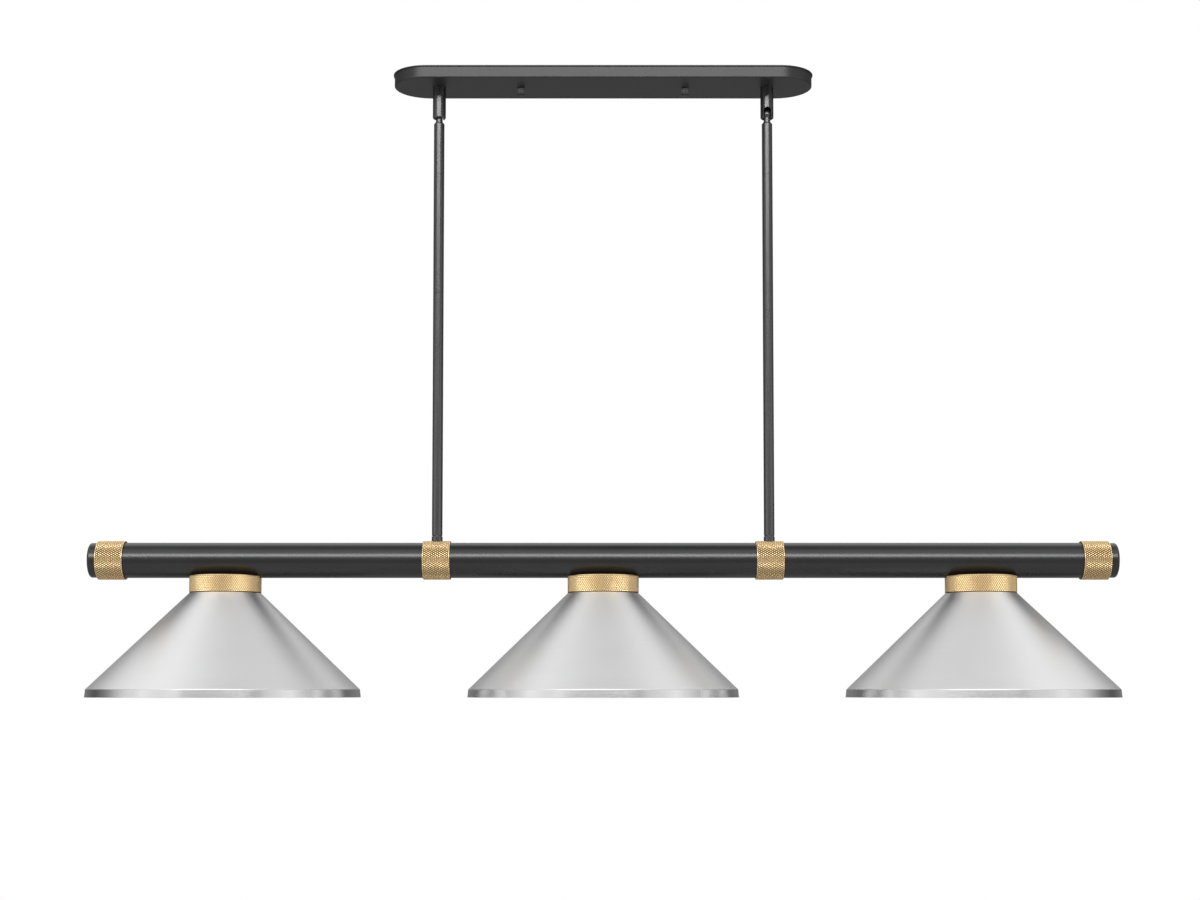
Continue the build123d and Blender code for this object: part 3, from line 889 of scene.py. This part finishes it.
for side in SIDES:
    node = f"foot_coupling_{side}"
    foot_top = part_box(node)[1].z
    band_axis = (middle(f"stem_band_{side}").z - foot_top) / MM

    def foot_profile(turn):
        """From the seat on the band up the bore, over the neck and down the outside."""
        aside = math.sin(2 * math.pi * turn)
        seat = [
            band_axis + math.sqrt((BAND_RADIUS + SEAT_PLAY) ** 2 - (r * aside) ** 2)
            for r in (FOOT_BORE, FOOT_RADIUS)
        ]
        return rounded(
            [
                (FOOT_BORE, seat[0]),
                (FOOT_BORE, 0, 0.2),
                (NECK_RADIUS, 0, 0.1),
                (NECK_RADIUS, -NECK_HEIGHT, 0.1),
                (FOOT_RADIUS, -NECK_HEIGHT - NECK_FLARE, 0.2),
                (FOOT_RADIUS, seat[1]),
            ]
        )

    foot = skin(f"turned_foot_{side}", circle(96), foot_profile, closed=True)
    stand_in(foot, (middle(node).x, 0, foot_top), node, finish=rod_paint)
print("necks under the stems, mm:", NECK_HEIGHT)

# %% [markdown]
# ## Collars
# Each shade hangs from a brass cup. Its top has a groove that seats the tube, so the finished
# cup is cut once by a cylinder of the tube's size. Cutting comes after knurling, as it would on
# the bench.

# %% Collars
COLLAR_RADIUS, COLLAR_HEIGHT, CUP_WALL, CUP_PLATE, CUP_BORE = 46.8, 22.8, 2.5, 5.6, 5.1
COLLAR_COLUMNS, COLLAR_ROWS, COLLAR_LAND = 100, 9, 1.35
SEAM_CUT, SEAM_SHADE_SPREAD = 1.0, 0.1  # the chamfer over the shade, and how far above it the painted seam shade reaches
# relief at the bottom of the collars' knurl: how far the painted groove shade goes
COLLAR_GROOVE_SHADE = 0.12
CUTTER_REACH = 60.0
TUBE_AXIS = middle("bar_tube").z

cutter_profile = [
    (0, -CUTTER_REACH),
    (TUBE_FIT, -CUTTER_REACH),
    (TUBE_FIT, CUTTER_REACH),
    (0, CUTTER_REACH),
]
cutter = skin("saddle_cutter", circle(128), cutter_profile)
cutter.rotation_euler = ALONG_BAR
inner, land = COLLAR_RADIUS - CUP_WALL, COLLAR_RADIUS - LAND_DROP
seam_top = SEAM_CUT - COLLAR_HEIGHT
rest = rounded(
    [
        (land, LAND_STEP - COLLAR_LAND),
        (land, -END_CHAMFER, 0.15),
        (land - END_CHAMFER, 0, 0.15),
        (CUP_BORE, 0, 0.2),
        (CUP_BORE, -CUP_PLATE, 0.2),
        (inner, -CUP_PLATE, 1.0),
        (inner, -COLLAR_HEIGHT, 0.2),
        (COLLAR_RADIUS - SEAM_CUT, -COLLAR_HEIGHT, 0.15),
        (land, seam_top, 0.15),
        (land, seam_top + 0.2),
    ],
    steps=2,
)
knurl = (COLLAR_COLUMNS, COLLAR_ROWS, rest, COLLAR_LAND)
for place in PLACES:
    node = f"shade_collar_{place}"
    collar = knurled(f"knurled_{node}", COLLAR_RADIUS, -COLLAR_HEIGHT, 0, *knurl)
    collar_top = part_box(node)[0].z + COLLAR_HEIGHT * MM
    cutter.location = (0, 0, TUBE_AXIS - collar_top)
    cut = collar.modifiers.new("tube seat", "BOOLEAN")
    cut.operation, cut.object, cut.solver = "DIFFERENCE", cutter, "EXACT"
    collar.modifiers["keep flats flat"].show_viewport = False
    evaluated = collar.evaluated_get(bpy.context.evaluated_depsgraph_get())
    collar.data = bpy.data.meshes.new_from_object(evaluated)
    collar.modifiers.remove(cut)
    collar.modifiers["keep flats flat"].show_viewport = True
    collar.data.materials.clear()
    # painted shade: the seam chamfer at the cup's foot is painted dark as a shadow line
    write_relief(collar, COLLAR_RADIUS, COLLAR_GROOVE_SHADE, seam_top + SEAM_SHADE_SPREAD)
    stand_in(collar, (middle(node).x, 0, collar_top), node)
    print(node, "faces after the cut:", len(collar.data.polygons))
bpy.data.objects.remove(cutter)

# %% [markdown]
# ## Shades
# A shade is spun from one disc of sheet over a wooden former: a flat top under the collar, the
# cone, a fold, and a nearly upright rim. The fold is not a sharp crease, because sheet metal
# bends over a small radius. The inside runs one sheet's thickness within the outside, so its
# fold lies a little lower.

# %% Shades
TOP_RADIUS, FOLD_RADIUS, RIM_RADIUS, SHEET = 46.6, 176.7, 177.75, 0.8
CONE_HEIGHT, RIM_HEIGHT, HOLE_RADIUS = 126.2, 10.5, 19.75

slope = (FOLD_RADIUS - TOP_RADIUS) / CONE_HEIGHT
rim_slope = (RIM_RADIUS - FOLD_RADIUS) / RIM_HEIGHT
level_wall = SHEET * math.sqrt(1 + slope**2)  # the cone's wall, measured level
drop = (level_wall - SHEET) / (slope - rim_slope)
shade_profile = rounded(
    [
        (HOLE_RADIUS, 0),
        (TOP_RADIUS, 0, 1.0),
        (FOLD_RADIUS, -CONE_HEIGHT, 0.6),
        (RIM_RADIUS, -CONE_HEIGHT - RIM_HEIGHT, 0.3),
        (RIM_RADIUS - SHEET, -CONE_HEIGHT - RIM_HEIGHT, 0.3),
        (FOLD_RADIUS + rim_slope * drop - SHEET, -CONE_HEIGHT - drop, 1.2),
        (TOP_RADIUS + slope * SHEET - level_wall, -SHEET, 1.0),
        (HOLE_RADIUS, -SHEET),
    ],
    steps=5,
)
for place in PLACES:
    node = f"shade_{place}"
    shade = skin(f"spun_{node}", circle(288), shade_profile, closed=True)
    stand_in(shade, (middle(node).x, 0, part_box(node)[1].z), node)
print("shade faces:", len(shade.data.polygons))

# %% [markdown]
# ## Socket shells and bulb caps
# The bulb's aluminium cap carries a rolled thread of seven turns to the inch, soft and round
# rather than cut. The socket's shell has the matching thread pressed outwards. Above the cap's
# thread sit a black glass insulator and a solder tip.

# %% Bulb caps and socket shells
ROLLED_PITCH = 3.63
FADE_ROWS = 8  # rows of a profile in which a rolled thread rises at each end
CAP_RADIUS, CAP_LENGTH, CAP_DEPTH = 13.1, 27.0, 0.85
CAP_THREAD_TOP, CAP_THREAD_LENGTH, CAP_ROWS = 5.0, 15.5, 48
SHELL_BORE, SHELL_WALL, SHELL_LENGTH, SHELL_DEPTH = 13.35, 0.6, 27.5, 0.48
SHELL_HOLE, SHELL_ROWS = 5.0, 64


def cap_profile(turn):
    """From the insulator's edge, down over four rolled turns, to the glass."""
    shape = [(0.0, -3.4), (10.6, -3.4), (12.0, -4.1)]
    for k in range(CAP_ROWS + 1):
        z = -CAP_THREAD_TOP - CAP_THREAD_LENGTH * k / CAP_ROWS
        fade = min(1.0, (k + 2) / FADE_ROWS, (CAP_ROWS + 2 - k) / FADE_ROWS)
        wave = 0.5 + 0.5 * math.cos(2 * math.pi * (z / ROLLED_PITCH - turn))
        shape.append((CAP_RADIUS - CAP_DEPTH * fade * wave, z))
    end = [(CAP_RADIUS, -21.4), (CAP_RADIUS, -26.6), (12.7, -CAP_LENGTH), (0.0, -CAP_LENGTH)]
    return shape + end


def shell_profile(turn):
    """The outside plain, the inside with the pressed thread."""
    inside = []
    for k in range(SHELL_ROWS + 1):
        z = -SHELL_WALL - (SHELL_LENGTH - SHELL_WALL) * k / SHELL_ROWS
        fade = min(1.0, k / FADE_ROWS, (SHELL_ROWS - k) / FADE_ROWS)
        wave = 0.5 - 0.5 * math.cos(2 * math.pi * (z / ROLLED_PITCH - turn))
        inside.append((SHELL_BORE + SHELL_DEPTH * fade * wave, z))
    outer = SHELL_BORE + SHELL_WALL
    cover = [(SHELL_HOLE, 0), (outer, 0), (outer, -SHELL_LENGTH)]
    return [*cover, *reversed(inside), (SHELL_HOLE, -SHELL_WALL), (SHELL_HOLE, 0)]


glass_profile = rounded([(0, -1.0), (4.9, -1.0, 0.3), (10.9, -3.5, 0.1), (0, -3.6)])
tip_profile = rounded([(0, 0), (3.4, -0.15, 2.0), (4.6, -1.2, 0.1), (0, -1.2)])
for place in PLACES:
    node = f"bulb_base_{place}"
    spot = (middle(node).x, 0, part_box(node)[1].z)
    cap = skin(f"bulb_cap_{place}", circle(72), cap_profile)
    stand_in(cap, spot, node)
    insulator = skin(f"cap_insulator_{place}", circle(48), glass_profile)
    solder = skin(f"solder_tip_{place}", circle(32), tip_profile)
    for extra, finish in ((insulator, cap_glass), (solder, FINISHES["zinc_steel"])):
        extra.location = spot
        extra.data.materials.append(finish)
        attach(extra, frame["nodes"][node]["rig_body"])
    node = f"socket_shell_{place}"
    shell = skin(f"screw_shell_{place}", circle(72), shell_profile)
    stand_in(shell, (middle(node).x, 0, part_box(node)[1].z), node)
print("bulb caps and shells:", len(PLACES))

# %% [markdown]
# ## Floor, world and lamps
# The floor is a pale disc that fades into the white background, so it keeps a shadow without a
# horizon, and throws some light up at the tube and the canopy's underside. The world is white to
# the camera. Metal shows whatever stands round it, and the photograph's shades show a bright
# ceiling that darkens towards the horizon behind them, so reflections read a soft gradient by
# direction. The lamps are a wide bank high in front and a soft box on each side.

# %% Floor
FLOOR_LEVEL, FLOOR_RADIUS = -3.1, 7.0
FADE_FROM, FADE_TO = 1.2, 4.5  # m from its middle
FLOOR_PALE = 0.78

floor_maker = bmesh.new()
bmesh.ops.create_circle(floor_maker, cap_ends=True, segments=96, radius=FLOOR_RADIUS)
floor_mesh = bpy.data.meshes.new("floor")
floor_maker.to_mesh(floor_mesh)
floor_maker.free()
floor = bpy.data.objects.new("floor", floor_mesh)
floor.location.z = FLOOR_LEVEL
bpy.context.scene.collection.objects.link(floor)
floor_finish, sheet = blank("pale_floor")
reach = sheet.vector("LENGTH", sheet.place(), out="Value")
seen = sheet.add("ShaderNodeLightPath", out="Is Camera Ray")
fade = sheet.span(reach, FADE_FROM, FADE_TO) * seen
pale = sheet.add("ShaderNodeBsdfDiffuse", None, {"Color": colour(*[FLOOR_PALE] * 3)})
white = sheet.add("ShaderNodeEmission", None, {"Color": colour(1, 1, 1), "Strength": 1.0})
mixed = sheet.add("ShaderNodeMixShader", None, {0: fade, 1: pale, 2: white})
sheet.add("ShaderNodeOutputMaterial", None, {"Surface": mixed})
floor_mesh.materials.append(floor_finish)
print("floor at", FLOOR_LEVEL, "m")

# %% World
CEILING_GAIN, HORIZON_GAIN = 1.5, 1.2
HORIZON_TOP, CEILING_FOOT = 0.1, 0.4  # heights of a direction; one turns into the other between
GROUND_GREY, SKY_GREY = 0.26, 0.36  # what dull surfaces are lit by
CEILING = (
    # a direction's height, brightness
    (0.0, 0.06),
    (0.28, 0.08),
    (0.42, 0.18),
    (0.54, 0.64),
    (0.66, 0.81),
    (0.78, 0.73),
    (0.88, 1.0),
    (0.95, 0.35),
    (1.0, 0.17),
)
HORIZON = (
    # how far a direction points to the back: 0 is the camera's side; brightness
    (0.0, 0.29),
    (0.16, 0.53),
    (0.36, 0.97),
    (0.585, 0.24),
    (0.75, 0.06),
    (0.94, 0.19),
)

world = bpy.data.worlds.new("studio")
world.use_nodes = True
world.node_tree.nodes.clear()
bpy.context.scene.world = world
sheet = Sheet(world.node_tree)
heading = sheet.add("ShaderNodeTexCoord", out="Generated")
up, back = sheet.part_of(heading, "Z"), sheet.part_of(heading, "Y")
ceiling = sheet.ramp(up, *CEILING) * CEILING_GAIN
horizon = sheet.ramp(back * 0.5 + 0.5, *HORIZON) * HORIZON_GAIN
mirrored = sheet.mix(sheet.span(up, HORIZON_TOP, CEILING_FOOT), horizon, ceiling)
RAYS = ("Camera", "Glossy", "Transmission")
to_camera, glossy, through = (
    sheet.add("ShaderNodeLightPath", out=f"Is {ray} Ray") for ray in RAYS
)
greys = [colour(*[grey] * 3) for grey in (GROUND_GREY, SKY_GREY)]
plain = sheet.mix(sheet.span(up, -1.0, 1.0), *greys)
shown = sheet.mix(to_camera, sheet.mix(glossy + through, plain, mirrored), colour(1, 1, 1))
sky = sheet.add("ShaderNodeBackground", None, {"Color": shown, "Strength": 1.0})
sheet.add("ShaderNodeOutputWorld", None, {"Surface": sky})
print("world nodes:", len(sheet.nodes))

# %% Lamps
LAMPS = {
    # name: place, aimed at, width, height, radiance
    "front_bank": ((-0.6, -6.0, 2.72), (0.0, 0.0, -0.65), 8.0, 1.65, 8.8),
    "left_box": ((-2.3, -1.93, -0.45), (0.0, 0.0, -0.5), 1.8, 1.05, 0.45),
    "right_box": ((2.3, -1.93, -0.45), (0.0, 0.0, -0.5), 1.8, 1.05, 0.40),
}
for name, (at, aim, width, height, radiance) in LAMPS.items():
    lamp_data = bpy.data.lights.new(name, "AREA")
    lamp_data.shape, lamp_data.size, lamp_data.size_y = "RECTANGLE", width, height
    lamp_data.energy = radiance * math.pi * width * height
    lamp = bpy.data.objects.new(name, lamp_data)
    lamp.location = at
    lamp.rotation_euler = (Vector(aim) - Vector(at)).to_track_quat("-Z", "Y").to_euler()
    lamp.visible_camera = False
    bpy.context.scene.collection.objects.link(lamp)
    print(name, "watts:", round(lamp_data.energy, 1))
